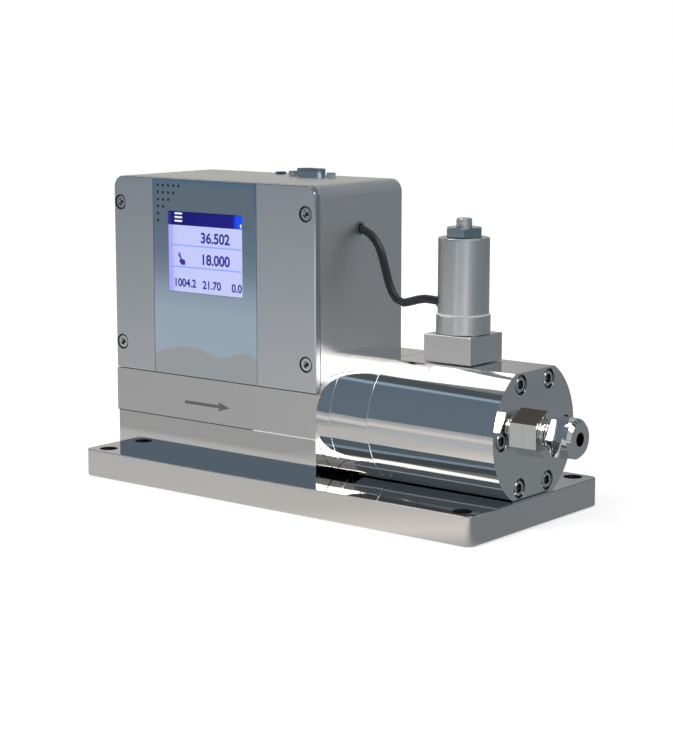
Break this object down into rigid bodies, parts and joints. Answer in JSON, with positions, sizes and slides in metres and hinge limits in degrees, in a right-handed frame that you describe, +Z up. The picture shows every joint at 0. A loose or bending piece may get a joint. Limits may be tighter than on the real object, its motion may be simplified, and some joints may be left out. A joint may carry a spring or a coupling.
{
  "type": "coriolis mass flow meter",
  "caption": "Coriolis mass flow meter on a steel base plate: square display box, round polished sensor body with tube fittings, and a cylindrical control valve fed by a short lead.",
  "frame": {"origin": "on the underside of the base plate, in the middle of its length and width", "axes": "+X along the flow, +Y from the display side to the back, +Z up"},
  "size_m": [0.2882, 0.1086, 0.1596],
  "materials": {
    "plate_steel": "ground and lightly polished stainless steel",
    "polished_steel": "mirror polished stainless steel",
    "cast_aluminium": "blasted cast aluminium",
    "cover_aluminium": "satin aluminium",
    "screw_steel": "bright stainless steel screws and connector shell",
    "fitting_steel": "turned stainless steel tube fitting",
    "valve_steel": "fine turned steel of the valve",
    "label_film": "printed polyester film in grey blues",
    "display_glass": "lit display behind a clear window",
    "black_plastic": "black moulded plastic",
    "black_rubber": "black rubber and cable jacket",
    "board_green": "green circuit board",
    "brass": "turned brass",
    "copper_winding": "enamelled copper winding"
  },
  "bodies": {
    "root": {"base_plate": "plate_steel", "base_block": "polished_steel", "body_ring": "polished_steel", "outlet_body": "polished_steel", "inlet_spacer": "polished_steel", "tube_manifold": "polished_steel", "flow_tube": "polished_steel", "housing": "cast_aluminium", "front_cover": "cover_aluminium", "sensor_bracket": "cover_aluminium", "cover_screw_1": "screw_steel", "cover_screw_2": "screw_steel", "cover_screw_3": "screw_steel", "cover_screw_4": "screw_steel", "end_screw_1": "screw_steel", "end_screw_2": "screw_steel", "end_screw_3": "screw_steel", "end_screw_4": "screw_steel", "end_screw_5": "screw_steel", "end_screw_6": "screw_steel", "plate_bolt_1": "screw_steel", "plate_bolt_2": "screw_steel", "plate_bolt_3": "screw_steel", "plate_bolt_4": "screw_steel", "connector_shell": "screw_steel", "connector_flange": "screw_steel", "jackscrew_1": "screw_steel", "jackscrew_2": "screw_steel", "top_plug": "screw_steel", "outlet_fitting_body": "fitting_steel", "outlet_fitting_nut": "fitting_steel", "inlet_fitting_body": "fitting_steel", "inlet_fitting_nut": "fitting_steel", "valve_block": "valve_steel", "valve_collar": "valve_steel", "coil_housing": "valve_steel", "coil_nut": "valve_steel", "valve_stem": "valve_steel", "front_label": "label_film", "display_glass": "display_glass", "display_module": "black_plastic", "connector_insert": "black_plastic", "cover_gasket": "black_rubber", "valve_lead": "black_rubber", "lead_grommet": "black_rubber", "coil_gland": "black_rubber", "main_board": "board_green", "board_standoff_1": "brass", "board_standoff_2": "brass", "board_standoff_3": "brass", "board_standoff_4": "brass", "drive_coil": "copper_winding", "pickoff_left": "copper_winding", "pickoff_right": "copper_winding"}
  },
  "joints": []
}
